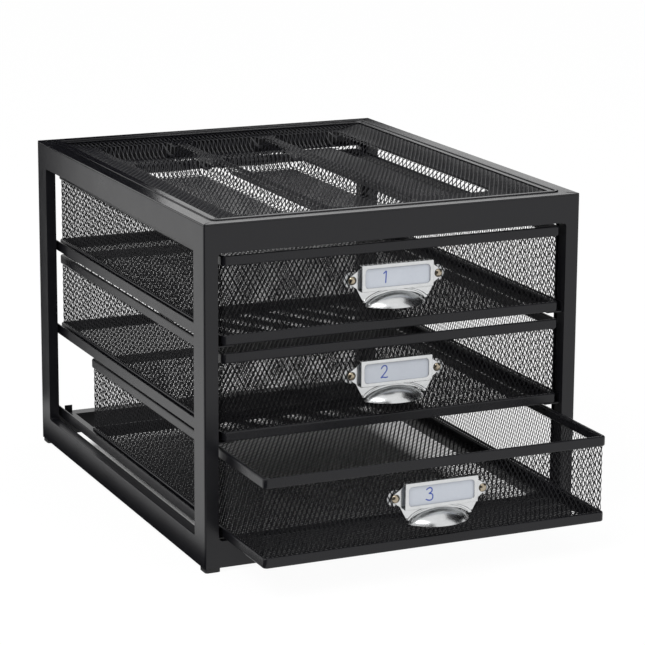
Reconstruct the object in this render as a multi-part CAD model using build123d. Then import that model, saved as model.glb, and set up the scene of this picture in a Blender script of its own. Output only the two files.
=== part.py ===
"""Desktop mini drawers: an open sheet-steel cabinet with three mesh drawers and a mesh top tray.

Millimetres, +Z up, front towards -Y, left and right as seen from the front.
Sizes are first written from the cabinet's own corner: x from the middle of the cabinet,
y from its front face and z from the surface that its feet stand on. The last step moves every
piece by ORIGIN_Y, so that the origin is under the middle of the box round the whole object.
"""

from build123d import *
import os

# ---- Cabinet ---------------------------------------------------------------------------------
WIDTH = 279.0
DEPTH = 344.0
FRAME_HEIGHT = 235.0
FOOT_HEIGHT = 3.0
SHEET = 1.2  # frames and lid
LIP_SHEET = 1.0  # folded edges round the windows
TOP = FOOT_HEIGHT + FRAME_HEIGHT

END_POST = 10.0  # width of a post seen from the front or the back
END_RAIL_TOP = 20.0
END_RAIL_BOTTOM = 18.5
END_LIP = 9.0
FRONT_WINDOW_RADIUS = 3.0
BACK_WINDOW_RADIUS = 5.0
CORNER_ROUND = 1.1  # outer vertical edges of the front and back frames

SIDE_POST = 19.0  # width of a post seen from the side
SIDE_RAIL_TOP = 19.0
SIDE_RAIL_BOTTOM = 18.5
SIDE_LIP = 6.5
SIDE_WINDOW_RADIUS = 1.5

FOOT_SIZE = 11.0
FOOT_PLUG_SIZE = 6.5
FOOT_PLUG_HEIGHT = 6.0

# ---- Lid border and tray ---------------------------------------------------------------------
BORDER = 16.0
BORDER_RADIUS = 3.0
BEAD_INSET = 9.5  # from the cabinet's outer edge to the bead
BEAD_WIDTH = 2.2
BEAD_HEIGHT = 0.7

TRAY_SHEET = 1.0
TRAY_FLANGE = 8.0  # how far the tray runs under the border
TRAY_SLOPE_X = (22.0, 21.0)  # how far its sloping edge reaches in, left and right
TRAY_SLOPE_Y = (21.0, 7.0)  # the same, front and back
TRAY_DROP = 3.0  # from the flange to the ribs between the wells
WELL_DEPTH = 12.0
WELL_SLOPE = 6.0
WELL_RADIUS = 11.0
TRAY_DIAMOND = (12.0, 17.0)  # gaps in the wells' floors and in the sloping edge
TRAY_STRAND = 2.4
TRAY_NET_BORDER = 2.0
WELL_COLUMNS = ((-100.5, -36.5), (-30.0, 36.0))  # left and middle, a long and a short well each
LONG_WELL_Y = (38.0, 249.0)
SHORT_WELL_Y = (257.0, 320.0)
PEN_WELL_X = (42.5, 101.0)
PEN_WELL_Y = (52.0, 320.0)

# ---- Drawers ---------------------------------------------------------------------------------
LEVELS = ("bottom", "middle", "top")
DRAWER_PITCH = 65.9
DRAWER_WIDTH = 252.0
DRAWER_DEPTH = 334.0
DRAWER_HEIGHT = 60.5
DRAWER_RADIUS = 3.0
DRAWER_RECESS = 1.5  # the rim's front face behind the cabinet's front face, when shut
BOTTOM_PULLED_OUT = 70.0  # the bottom drawer's place at rest

CHANNEL_HEIGHT = 7.0  # rim and base band
CHANNEL_WIDTH = 3.0
CHANNEL_FOLD = 1.1  # outer leg of the folded channel
SLOT_DEPTH = 5.0
FLOOR_LEDGE = 8.0
LEDGE_SHEET = 1.0

MESH = 0.8
WALL_DIAMOND = (14.0, 21.0)
FRONT_DIAMOND = (9.6, 14.4)
FLOOR_DIAMOND = (18.4, 26.4)
WALL_STRAND = 1.6
FLOOR_STRAND = 5.6
MESH_BORDER = 6.5  # plain edge of a wall panel, most of it inside the channels
FLOOR_BORDER = 8.0

# ---- Runners ---------------------------------------------------------------------------------
RUNNER_SHEET = 0.8
RUNNER_LEDGE = 12.0
RUNNER_FLANGE = 6.5
RUNNER_END_GAP = 1.3  # to the inside of the front and back sheets
RUNNER_PLAY = 0.1  # under the drawer
RUNNER_LIFT = 0.9  # of the lowest runner above the bottom rails
STOP_GAP = 0.5
STOP_WIDTH = 6.0
STOP_HEIGHT = 5.0

# ---- Pulls -----------------------------------------------------------------------------------
PULL_SHEET = 0.8
PLATE_BELOW_RIM = 14.5  # from the top of the drawer to the top of the label frame
PLATE_WIDTH = 53.6
PLATE_HEIGHT = 18.2
PLATE_STAND_OFF = 4.4  # front of the label frame from the mesh
LABEL_WINDOW_WIDTH = 48.0
LABEL_WINDOW_TOP = 2.6
LABEL_WINDOW_HEIGHT = 13.1
LABEL_WINDOW_RADIUS = 2.4
EMBOSS_FRONT = 2.6  # front of the raised field behind the card, from the mesh
EMBOSS_INSET_X = 2.3
EMBOSS_INSET_Z = 1.3
EAR_SCREW_X = 32.1
EAR_SCREW_DROP = 10.3
EAR_RADIUS = 3.7
SKIRT_HALF_WIDTH = 26.2
SKIRT_DROP = 25.2
CUP_HALF_WIDTH = 24.5
CUP_REACH = 13.5
CUP_RISE = 9.5
CUP_EDGE_DROP = 29.0  # from the top of the label frame to the cup's lower edge

CARD_SIZE = (52.0, 15.2)
CARD_SHEET = 0.4
CARD_FRONT = 3.3  # front of the card from the mesh

SCREW_RADIUS = 1.5
SCREW_HOLE_RADIUS = 1.6
SCREW_REACH = 5.2  # behind the front of the mesh
DOME_RADIUS = 3.0
DOME_HEIGHT = 1.8
WASHER_RADIUS = 5.5
WASHER_SHEET = 0.8
NUT_SIZE = 5.5
NUT_HEIGHT = 2.4

# ---- Worked out from the values above --------------------------------------------------------
FRONT_REACH = CUP_REACH - (DRAWER_RECESS + CHANNEL_FOLD) + BOTTOM_PULLED_OUT
ORIGIN_Y = (DEPTH - FRONT_REACH) / 2
HALF = WIDTH / 2
LIP_INNER = HALF - END_POST
LEDGE_TOP = FOOT_HEIGHT + END_RAIL_BOTTOM + RUNNER_LIFT + RUNNER_SHEET
DRAWER_BASE = {name: LEDGE_TOP + RUNNER_PLAY + i * DRAWER_PITCH for i, name in enumerate(LEVELS)}
DRAWER_FRONT = {
    "bottom": DRAWER_RECESS - BOTTOM_PULLED_OUT,
    "middle": DRAWER_RECESS,
    "top": DRAWER_RECESS,
}
FLANGE_Z = TOP - SHEET
RIB_Z = FLANGE_Z - TRAY_DROP
WELL_Z = RIB_Z - WELL_DEPTH


def box(x, y, z):
    """A box from three (low, high) pairs."""
    size = [high - low for low, high in (x, y, z)]
    return Pos(x[0], y[0], z[0]) * Box(*size, align=(Align.MIN, Align.MIN, Align.MIN))


def inset(pair, amount):
    return (pair[0] + amount, pair[1] - amount)


def round_slab(x, y, z, radius):
    """A slab between two heights, with its four vertical edges rounded."""
    slab = box(x, y, z)
    return fillet(slab.edges().filter_by(Axis.Z), radius)


def upright_slab(x, y, z, radius, along):
    """A slab whose four edges along one axis are rounded."""
    slab = box(x, y, z)
    return fillet(slab.edges().filter_by(along), radius)


def diamond_gaps(width, height, diamond, strand, border):
    """Rows of diamonds, every other row shifted, in the XY plane round the origin."""
    step_x, step_y = diamond
    wide = int((width - 2 * border) // step_x)
    rows = int((height - 2 * border) // (step_y / 2)) - 1
    shrink = 1 - strand * (step_x**2 + step_y**2) ** 0.5 / (step_x * step_y)
    reach_x, reach_y = step_x / 2 * shrink, step_y / 2 * shrink
    gaps = []
    for row in range(rows):
        in_row = wide - row % 2
        y = (row - (rows - 1) / 2) * step_y / 2
        for column in range(in_row):
            x = (column - (in_row - 1) / 2) * step_x
            corners = [(x + reach_x, y), (x, y + reach_y), (x - reach_x, y), (x, y - reach_y)]
            gaps.append(Wire.make_polygon(corners))
    print("net", round(width), "x", round(height), "gaps", len(gaps))
    return gaps


def net(width, height, diamond, strand, border, sheet):
    """A flat net: one sheet with diamond gaps, flat in the XY plane."""
    gaps = diamond_gaps(width, height, diamond, strand, border)
    return extrude(Face(Rectangle(width, height).wire(), gaps), sheet)


# ---- Frames ----------------------------------------------------------------------------------
def end_frame(radius):
    """Front frame: a sheet with a window, and a lip folded back round the window."""
    outer_z = (FOOT_HEIGHT, TOP - SHEET)
    window_x = (-LIP_INNER, LIP_INNER)
    window_z = (FOOT_HEIGHT + END_RAIL_BOTTOM, TOP - END_RAIL_TOP)
    sheet = box((-HALF, HALF), (0, SHEET), outer_z)
    front_edges = sheet.edges().filter_by(Axis.Z).group_by(Axis.Y)[0]
    sheet = fillet(front_edges, CORNER_ROUND)
    lip_x = (window_x[0] - LIP_SHEET, window_x[1] + LIP_SHEET)
    lip_z = (window_z[0] - LIP_SHEET, window_z[1] + LIP_SHEET)
    lip = upright_slab(lip_x, (0, SHEET + END_LIP), lip_z, radius + LIP_SHEET, Axis.Y)
    opening = upright_slab(window_x, (-1, DEPTH), window_z, radius, Axis.Y)
    return sheet + lip - opening


def back_frame():
    return Pos(0, DEPTH, 0) * Rot(0, 0, 180) * end_frame(BACK_WINDOW_RADIUS)


def side_frame(side):
    """Side frame: a sheet between the end frames, with a lip folded in round its window."""
    y = (SHEET, DEPTH - SHEET)
    window_y = (SIDE_POST, DEPTH - SIDE_POST)
    window_z = (FOOT_HEIGHT + SIDE_RAIL_BOTTOM, TOP - SIDE_RAIL_TOP)
    lip_y = (window_y[0] - LIP_SHEET, window_y[1] + LIP_SHEET)
    lip_z = (window_z[0] - LIP_SHEET, window_z[1] + LIP_SHEET)
    lip_x = (-HALF, -HALF + SHEET + SIDE_LIP)
    sheet = box((-HALF, -HALF + SHEET), y, (FOOT_HEIGHT, TOP - SHEET))
    lip = upright_slab(lip_x, lip_y, lip_z, SIDE_WINDOW_RADIUS + LIP_SHEET, Axis.X)
    opening = upright_slab((-WIDTH, 0), window_y, window_z, SIDE_WINDOW_RADIUS, Axis.X)
    frame = sheet + lip - opening
    return frame if side == "left" else mirror(frame, Plane.YZ)


def foot(x_side, at_back):
    """Glide under a corner, with a plug that clips inside the two sheets."""
    low = (HALF - FOOT_SIZE - 0.5, HALF - 0.5)
    pad = round_slab(low, (0.5, FOOT_SIZE + 0.5), (0, FOOT_HEIGHT), 2.0)
    plug_x = (HALF - SHEET - FOOT_PLUG_SIZE, HALF - SHEET)
    plug = box(plug_x, (SHEET, SHEET + FOOT_PLUG_SIZE), (FOOT_HEIGHT, FOOT_HEIGHT + FOOT_PLUG_HEIGHT))
    piece = pad + plug
    if x_side == "left":
        piece = mirror(piece, Plane.YZ)
    if at_back:
        piece = mirror(piece, Plane.XZ.offset(-DEPTH / 2))
    return piece


# ---- Lid and tray ----------------------------------------------------------------------------
def top_border():
    sheet = box((-HALF, HALF), (0, DEPTH), (TOP - SHEET, TOP))
    sheet = fillet(sheet.edges().filter_by(Axis.Z), CORNER_ROUND)
    sheet = fillet(sheet.faces().sort_by(Axis.Z)[-1].edges(), 0.8)
    bead_in = BEAD_INSET + BEAD_WIDTH
    bead_z = (TOP - SHEET, TOP + BEAD_HEIGHT)
    outer = round_slab(
        (-HALF + BEAD_INSET, HALF - BEAD_INSET), (BEAD_INSET, DEPTH - BEAD_INSET), bead_z, BORDER_RADIUS + 2
    )
    outer = fillet(outer.faces().sort_by(Axis.Z)[-1].edges(), 0.5)
    inner = round_slab(
        (-HALF + bead_in, HALF - bead_in), (bead_in, DEPTH - bead_in), (TOP, TOP + 2), BORDER_RADIUS + 1
    )
    window = round_slab(
        (-HALF + BORDER, HALF - BORDER), (BORDER, DEPTH - BORDER), (TOP - 5, TOP + 5), BORDER_RADIUS
    )
    return sheet + (outer - inner) - window


def hollow(top, low, z_top, z_low, radius):
    """A tapered hollow as a solid: rounded rectangles at two heights, joined by ruled sides."""
    shapes = []
    for (x, y), z in ((top, z_top), (low, z_low)):
        middle = Pos((x[0] + x[1]) / 2, (y[0] + y[1]) / 2, z)
        shapes.append((middle * RectangleRounded(x[1] - x[0], y[1] - y[0], radius)).face())
    return loft(shapes, ruled=True)


def wells():
    """The five wells' outlines at the ribs, as (x, y) pairs."""
    outlines = [(PEN_WELL_X, PEN_WELL_Y)]
    for column in WELL_COLUMNS:
        outlines.append((column, LONG_WELL_Y))
        outlines.append((column, SHORT_WELL_Y))
    return outlines


def tray_rectangles():
    """The tray's window and, inside the sloping edge, its flat middle, as (x, y) pairs."""
    x = (-HALF + BORDER, HALF - BORDER)
    y = (BORDER, DEPTH - BORDER)
    low_x = (x[0] + TRAY_SLOPE_X[0], x[1] - TRAY_SLOPE_X[1])
    low_y = (y[0] + TRAY_SLOPE_Y[0], y[1] - TRAY_SLOPE_Y[1])
    return (x, y), (low_x, low_y)


def tray_space(drop):
    """Everything above the tray's surface, lowered by drop."""
    window, middle = tray_rectangles()
    space = hollow(window, middle, FLANGE_Z - drop, RIB_Z - drop, BORDER_RADIUS)
    for well_x, well_y in wells():
        low = (inset(well_x, WELL_SLOPE), inset(well_y, WELL_SLOPE))
        space += hollow((well_x, well_y), low, RIB_Z - drop, WELL_Z - drop, WELL_RADIUS)
    return space


def tray_gaps():
    """Upright diamond prisms through the wells' floors and three sides of the sloping edge."""
    (x, y), (low_x, low_y) = tray_rectangles()
    panels = [(inset(well_x, WELL_SLOPE), inset(well_y, WELL_SLOPE)) for well_x, well_y in wells()]
    panels += [((x[0], low_x[0]), y), ((low_x[1], x[1]), y), (low_x, (y[0], low_y[0]))]
    prisms = []
    for across, along in panels:
        width, height = across[1] - across[0], along[1] - along[0]
        place = Pos(sum(across) / 2, sum(along) / 2, WELL_Z - 2 * TRAY_SHEET)
        for gap in diamond_gaps(width, height, TRAY_DIAMOND, TRAY_STRAND, TRAY_NET_BORDER):
            prisms.append(place * extrude(Face(gap), TOP - WELL_Z))
    return Compound(prisms)


def top_tray():
    edge = BORDER - TRAY_FLANGE
    flange = box((-HALF + edge, HALF - edge), (edge, DEPTH - edge), (FLANGE_Z - TRAY_SHEET, FLANGE_Z))
    return flange + tray_space(TRAY_SHEET) - tray_space(0.0) - tray_gaps()


# ---- Runners ---------------------------------------------------------------------------------
def runner(side, level):
    """Angle strip: a flange welded to the window lips and a ledge under the drawer.

    The lowest strip passes the rounded lower corners of the windows, which notch its ends.
    """
    top = DRAWER_BASE[level] - RUNNER_PLAY
    y = (SHEET + RUNNER_END_GAP, DEPTH - SHEET - RUNNER_END_GAP)
    outer = -LIP_INNER
    flange = box((outer, outer + RUNNER_SHEET), y, (top - RUNNER_SHEET, top + RUNNER_FLANGE))
    ledge = box((outer, outer + RUNNER_LEDGE), y, (top - RUNNER_SHEET, top))
    stop_y = DRAWER_RECESS + DRAWER_DEPTH + STOP_GAP
    stop_x = (outer + RUNNER_LEDGE - STOP_WIDTH, outer + RUNNER_LEDGE)
    stop = box(stop_x, (stop_y, stop_y + RUNNER_SHEET), (top - RUNNER_SHEET, top + STOP_HEIGHT))
    strip = flange + ledge + stop
    if level == "bottom":
        strip = strip - end_frame(FRONT_WINDOW_RADIUS) - back_frame()
    return strip if side == "left" else mirror(strip, Plane.YZ)


# ---- Drawers: x from the middle, y from the rim's front face, z from the base band's underside --
DRAWER_X = (-DRAWER_WIDTH / 2, DRAWER_WIDTH / 2)
DRAWER_Y = (0.0, DRAWER_DEPTH)
RIM_Z = (DRAWER_HEIGHT - CHANNEL_HEIGHT, DRAWER_HEIGHT)
WALL_Z = (CHANNEL_HEIGHT - SLOT_DEPTH, RIM_Z[0] + SLOT_DEPTH)


def ring(z, outer_inset, inner_inset, outer_radius):
    """A band round the drawer between two insets from its outline."""
    outer = box(inset(DRAWER_X, outer_inset), inset(DRAWER_Y, outer_inset), z)
    if outer_radius:
        outer = fillet(outer.edges().filter_by(Axis.Z), outer_radius)
    return outer - box(inset(DRAWER_X, inner_inset), inset(DRAWER_Y, inner_inset), (z[0] - 1, z[1] + 1))


def wall_slot(z):
    return ring(z, CHANNEL_FOLD, CHANNEL_FOLD + MESH, 0.0)


def drawer_rim():
    band = ring(RIM_Z, 0.0, CHANNEL_WIDTH, DRAWER_RADIUS)
    top_edges = band.faces().sort_by(Axis.Z)[-1].edges()
    band = fillet(top_edges, 0.7)
    return band - wall_slot((RIM_Z[0], WALL_Z[1]))


def drawer_base_band():
    band = ring((0.0, CHANNEL_HEIGHT), 0.0, CHANNEL_WIDTH, DRAWER_RADIUS)
    ledge = ring((0.0, LEDGE_SHEET), 0.0, FLOOR_LEDGE, DRAWER_RADIUS)
    return band + ledge - wall_slot((WALL_Z[0], CHANNEL_HEIGHT))


def wall_panel(length, diamond):
    """A wall net standing up: along X, its outer face at y = 0 and its middle at x = 0."""
    height = WALL_Z[1] - WALL_Z[0]
    flat = net(length, height, diamond, WALL_STRAND, MESH_BORDER, MESH)
    return Pos(0, MESH, (WALL_Z[0] + WALL_Z[1]) / 2) * Rot(90, 0, 0) * flat


def front_mesh():
    panel = Pos(0, CHANNEL_FOLD, 0) * wall_panel(DRAWER_WIDTH - 2 * CHANNEL_FOLD, FRONT_DIAMOND)
    return panel - screw_shafts(SCREW_HOLE_RADIUS)


def back_mesh():
    panel = wall_panel(DRAWER_WIDTH - 2 * CHANNEL_FOLD, WALL_DIAMOND)
    return Pos(0, DRAWER_DEPTH - CHANNEL_FOLD - MESH, 0) * panel


def side_mesh(side):
    length = DRAWER_DEPTH - 2 * (CHANNEL_FOLD + MESH)
    panel = Rot(0, 0, -90) * wall_panel(length, WALL_DIAMOND)
    panel = Pos(-DRAWER_WIDTH / 2 + CHANNEL_FOLD, DRAWER_DEPTH / 2, 0) * panel
    return panel if side == "left" else mirror(panel, Plane.YZ)


def floor_mesh():
    width = DRAWER_WIDTH - 2 * CHANNEL_WIDTH
    length = DRAWER_DEPTH - 2 * CHANNEL_WIDTH
    flat = net(width, length, FLOOR_DIAMOND, FLOOR_STRAND, FLOOR_BORDER, MESH)
    return Pos(0, DRAWER_DEPTH / 2, LEDGE_SHEET) * flat


# ---- Pulls: y from the front of the mesh, z from the top of the label frame ----------------------
def at_pull(piece):
    """Move a piece of the pull to its place on the drawer."""
    return Pos(0, CHANNEL_FOLD, DRAWER_HEIGHT - PLATE_BELOW_RIM) * piece


def front_plate(sketch, near, far):
    """Extrude an outline drawn in X and Z between two distances in front of the mesh."""
    return Pos(0, -near, 0) * extrude(Plane.XZ * sketch, far - near, dir=(0, -1, 0))


def pull_outline():
    """Base plate: a body behind the label frame, an ear each side and a skirt over the cup."""
    half = PLATE_WIDTH / 2
    body = Polygon(
        (-half, 0), (half, 0), (half, -PLATE_HEIGHT), (SKIRT_HALF_WIDTH, -SKIRT_DROP),
        (-SKIRT_HALF_WIDTH, -SKIRT_DROP), (-half, -PLATE_HEIGHT), align=None,
    )
    outline = body
    for sign in (-1, 1):
        tip = Pos(sign * EAR_SCREW_X, -EAR_SCREW_DROP) * Circle(EAR_RADIUS)
        root = Pos(sign * (half - 1), -EAR_SCREW_DROP) * Rectangle(1.0, 14.0)
        outline += make_hull((tip + root).edges())
    return outline


def ellipsoid(shrink):
    radii = (CUP_HALF_WIDTH - shrink, CUP_REACH - shrink, CUP_RISE - shrink)
    return Pos(0, 0, -CUP_EDGE_DROP) * scale(Sphere(1.0), by=radii)


def pull():
    half = PLATE_WIDTH / 2
    base = front_plate(pull_outline(), 0.0, PULL_SHEET)
    cup_space = box((-HALF, HALF), (-CUP_REACH - 1, 0.0), (-CUP_EDGE_DROP, 0.0))
    cup = (ellipsoid(0.0) - ellipsoid(PULL_SHEET)) & cup_space
    base = base - ellipsoid(PULL_SHEET)
    frame_z = (-PLATE_HEIGHT, 0.0)
    block = box((-half, half), (-PLATE_STAND_OFF, -PULL_SHEET / 2), frame_z)
    slot = box((-half - 1, half + 1), (-PLATE_STAND_OFF + PULL_SHEET, 0.0), inset(frame_z, PULL_SHEET))
    window_z = -LABEL_WINDOW_TOP - LABEL_WINDOW_HEIGHT / 2
    window = Pos(0, window_z) * RectangleRounded(
        LABEL_WINDOW_WIDTH, LABEL_WINDOW_HEIGHT, LABEL_WINDOW_RADIUS
    )
    label_frame = block - slot - front_plate(window, EMBOSS_FRONT, PLATE_STAND_OFF + 1)
    field_x = inset((-half, half), EMBOSS_INSET_X)
    field_z = inset(frame_z, EMBOSS_INSET_Z)
    field = box(field_x, (-EMBOSS_FRONT, 0.0), field_z)
    pocket = box(inset(field_x, PULL_SHEET), (-EMBOSS_FRONT + PULL_SHEET, 1.0), inset(field_z, PULL_SHEET))
    return at_pull(base + label_frame + cup + field - pocket) - screw_shafts(SCREW_HOLE_RADIUS)


def rod(radius, front, back):
    """A round bar along Y between two distances from the front of the mesh."""
    return Pos(0, (front + back) / 2, 0) * Rot(90, 0, 0) * Cylinder(radius, back - front)


def at_screws(piece):
    """The piece at each of the two screws, as one group."""
    places = [Pos(sign * EAR_SCREW_X, 0, -EAR_SCREW_DROP) for sign in (-1, 1)]
    return at_pull(Compound([place * piece for place in places]))


def screw_shafts(radius):
    return at_screws(rod(radius, -PLATE_STAND_OFF, SCREW_REACH))


def dome_screw():
    """Round head on the ear, and a shaft through the ear, the mesh, the washer and the nut."""
    ball_radius = (DOME_RADIUS**2 + DOME_HEIGHT**2) / (2 * DOME_HEIGHT)
    face = -PULL_SHEET
    ball = Pos(0, face + ball_radius - DOME_HEIGHT, 0) * Sphere(ball_radius)
    head_space = rod(2 * DOME_RADIUS, face - 2 * DOME_HEIGHT, face)
    return (ball & head_space) + rod(SCREW_RADIUS, face - DOME_HEIGHT / 2, SCREW_REACH)


def washer():
    return rod(WASHER_RADIUS, MESH, MESH + WASHER_SHEET) - rod(SCREW_HOLE_RADIUS, 0, SCREW_REACH)


def nut():
    half = NUT_SIZE / 2
    back = MESH + WASHER_SHEET
    block = box((-half, half), (back, back + NUT_HEIGHT), (-half, half))
    return block - rod(SCREW_HOLE_RADIUS, 0, SCREW_REACH + 1)


def label_card():
    half_x, height = CARD_SIZE[0] / 2, CARD_SIZE[1]
    low = -(PLATE_HEIGHT + height) / 2
    card = box((-half_x, half_x), (-CARD_FRONT, -CARD_FRONT + CARD_SHEET), (low, low + height))
    return at_pull(card)


DRAWER_PIECES = {
    "rim": drawer_rim,
    "base_band": drawer_base_band,
    "front_mesh": front_mesh,
    "back_mesh": back_mesh,
    "left_mesh": lambda: side_mesh("left"),
    "right_mesh": lambda: side_mesh("right"),
    "floor_mesh": floor_mesh,
    "pull": pull,
    "pull_screws": lambda: at_screws(dome_screw()),
    "pull_washers": lambda: at_screws(washer()),
    "pull_nuts": lambda: at_screws(nut()),
    "label_card": label_card,
}


def main():
    os.makedirs("parts", exist_ok=True)
    place = Pos(0, -ORIGIN_Y, 0)
    pieces = {
        "front_frame": end_frame(FRONT_WINDOW_RADIUS),
        "back_frame": back_frame(),
        "top_border": top_border(),
        "top_tray": top_tray(),
    }
    for side in ("left", "right"):
        pieces[side + "_side_frame"] = side_frame(side)
        for level in LEVELS:
            pieces[level + "_runner_" + side] = runner(side, level)
        pieces["foot_front_" + side] = foot(side, at_back=False)
        pieces["foot_back_" + side] = foot(side, at_back=True)
    for name, make in DRAWER_PIECES.items():
        piece = make()
        for level in LEVELS:
            spot = Pos(0, DRAWER_FRONT[level], DRAWER_BASE[level])
            pieces[level + "_drawer_" + name] = spot * piece
    for name, piece in pieces.items():
        export_step(place * piece, "parts/" + name + ".step")


main()
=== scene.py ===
"""Looks of the desktop drawer cabinet: powder-coated steel, expanded metal and plated pulls.

Metres, +Z up, front towards -Y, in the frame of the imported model.
"""

import math

import bmesh
import bpy
from mathutils import Matrix, Vector

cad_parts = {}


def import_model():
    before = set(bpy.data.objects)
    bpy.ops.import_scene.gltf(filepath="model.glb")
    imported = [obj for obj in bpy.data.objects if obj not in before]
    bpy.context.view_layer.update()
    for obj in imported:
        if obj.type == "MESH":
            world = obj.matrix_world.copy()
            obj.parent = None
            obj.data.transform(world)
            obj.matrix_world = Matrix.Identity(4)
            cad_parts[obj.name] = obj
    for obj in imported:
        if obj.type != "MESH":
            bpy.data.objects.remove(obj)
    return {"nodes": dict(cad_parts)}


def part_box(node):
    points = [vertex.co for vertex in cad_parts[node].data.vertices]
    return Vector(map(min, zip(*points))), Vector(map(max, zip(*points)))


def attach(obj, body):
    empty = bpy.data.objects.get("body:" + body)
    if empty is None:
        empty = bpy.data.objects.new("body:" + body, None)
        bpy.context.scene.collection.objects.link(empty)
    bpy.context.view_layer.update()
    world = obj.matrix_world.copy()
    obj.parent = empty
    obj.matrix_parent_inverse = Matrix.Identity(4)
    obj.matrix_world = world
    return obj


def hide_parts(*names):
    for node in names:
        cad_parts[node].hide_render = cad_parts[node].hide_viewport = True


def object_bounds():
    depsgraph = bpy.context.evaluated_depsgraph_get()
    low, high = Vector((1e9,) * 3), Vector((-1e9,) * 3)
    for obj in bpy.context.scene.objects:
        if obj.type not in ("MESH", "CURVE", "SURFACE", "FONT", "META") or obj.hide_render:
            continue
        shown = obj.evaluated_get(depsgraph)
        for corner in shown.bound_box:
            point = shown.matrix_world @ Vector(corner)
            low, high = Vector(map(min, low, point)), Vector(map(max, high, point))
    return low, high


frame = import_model()
cad_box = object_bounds()

MM = 0.001
LEVELS = ("bottom", "middle", "top")
FRAMES = ("front_frame", "back_frame", "left_side_frame", "right_side_frame")
QUARTER = math.pi / 2

# ---- Camera, from the photograph's vanishing lines ---------------------------------------------
FRAME_PIXELS = 645
FOCAL_PIXELS = 2623.7
SENSOR = 36.0
CAMERA_YAW = math.radians(24.255)
CAMERA_PITCH = math.radians(12.453)
CAMERA_ROLL = math.radians(0.319)
CAMERA_SHIFT = -0.1
CAMERA_FROM_CORNER = Vector((-0.6128, -1.5476, 0.5807))  # from the frame's lower front left corner

# ---- Expanded metal ----------------------------------------------------------------------------
CELL_WIDTH = 3.5 * MM
CELL_HEIGHT = 6.33 * MM
WALL_STRAND = (0.62 * MM, 0.55 * MM)  # width and thickness
FLOOR_STRAND = (1.15 * MM, 0.72 * MM)
TRAY_STRAND = (0.85 * MM, 0.70 * MM)
MESH_FOLD_RADIUS = 2.2 * MM


# ================================================================================================
# Materials
# ================================================================================================
class Socket:
    """A node's output that takes part in Python maths: each operation adds a Math node."""

    def __init__(self, finish, output):
        self.finish = finish
        self.output = output

    def math(self, operation, *values):
        """One Math node on values or sockets."""
        return self.finish.node("ShaderNodeMath", {"operation": operation}, *values)

    def __add__(self, other):
        return self.math("ADD", self, other)

    def __sub__(self, other):
        return self.math("SUBTRACT", self, other)

    def __rsub__(self, other):
        return self.math("SUBTRACT", other, self)

    def __mul__(self, other):
        return self.math("MULTIPLY", self, other)

    def __abs__(self):
        return self.math("ABSOLUTE", self)

    def within_one(self):
        """Held between 0 and 1."""
        return self.math("MINIMUM", self.math("MAXIMUM", self, 0.0), 1.0)

    __radd__ = __add__
    __rmul__ = __mul__


class Finish:
    """A material and the nodes that make it."""

    def __init__(self, name):
        self.material = bpy.data.materials.new(name)
        self.material.use_nodes = True
        self.tree = self.material.node_tree
        self.tree.nodes.clear()
        self.surface = self.tree.nodes.new("ShaderNodeOutputMaterial").inputs["Surface"]

    def node(self, kind, settings=None, *values, output=0, **named):
        """Adds a node: its settings first, then its sockets' values or links, by order or by name."""
        made = self.tree.nodes.new(kind)
        for name, value in (settings or {}).items():
            setattr(made, name, value)
        for place, value in list(enumerate(values)) + list(named.items()):
            socket = made.inputs[place.replace("_", " ") if isinstance(place, str) else place]
            if isinstance(value, Socket):
                self.tree.links.new(value.output, socket)
            else:
                socket.default_value = value
        return Socket(self, made.outputs[output])

    def place(self):
        """The point on the piece, in its own coordinates."""
        return self.node("ShaderNodeTexCoord", output="Object")

    def shown(self):
        """1 where the camera sees the surface, directly or in gloss or through glass."""
        path = self.node("ShaderNodeLightPath")
        rays = [Socket(self, path.output.node.outputs[name]) for name in SHOWN_RAYS]
        return rays[0].math("MAXIMUM", rays[0].math("MAXIMUM", rays[0], rays[1]), rays[2])

    def noise(self, size, detail=2.0, roughness=0.5, stretch=(1, 1, 1)):
        """Smooth noise from 0 to 1, with features of about one size in metres."""
        place = self.node("ShaderNodeMapping", None, self.place(), Scale=stretch)
        sizes = {"Scale": 1.0 / size, "Detail": detail, "Roughness": roughness}
        return self.node("ShaderNodeTexNoise", None, Vector=place, **sizes)

    def blend(self, factor, first, second):
        """A colour between two colours."""
        made = self.node("ShaderNodeMix", {"data_type": "RGBA"}, factor, output=2)
        mix = made.output.node
        for socket, value in ((mix.inputs[6], first), (mix.inputs[7], second)):
            if isinstance(value, Socket):
                self.tree.links.new(value.output, socket)
            else:
                socket.default_value = (*value, 1.0)
        return made

    def bump(self, height, distance, strength):
        """A normal tilted by a height, which reaches over a distance in metres."""
        return self.node("ShaderNodeBump", None, Height=height, Distance=distance, Strength=strength)

    def finish(self, **named):
        """Closes the material with a principled shader."""
        shader = self.node("ShaderNodeBsdfPrincipled", None, **named)
        self.tree.links.new(shader.output, self.surface)
        return self.material


def powder_coat(name, colour, roughness, gloss):
    """Satin black powder coat: a fine orange-peel skin with slow changes of sheen."""
    coat = Finish(name)
    peel = coat.noise(0.55 * MM, detail=3.0, roughness=0.55)
    cloud = coat.noise(26 * MM, detail=3.0)
    dark = tuple(0.8 * c for c in colour)
    tint = coat.blend(cloud, dark, colour)
    sheen = cloud * 0.10 + (roughness - 0.05) + (peel - 0.5) * 0.06
    skin = coat.bump(peel, 0.05 * MM, 0.35)
    return coat.finish(Base_Color=tint, Roughness=sheen, Normal=skin, IOR=gloss)


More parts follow.
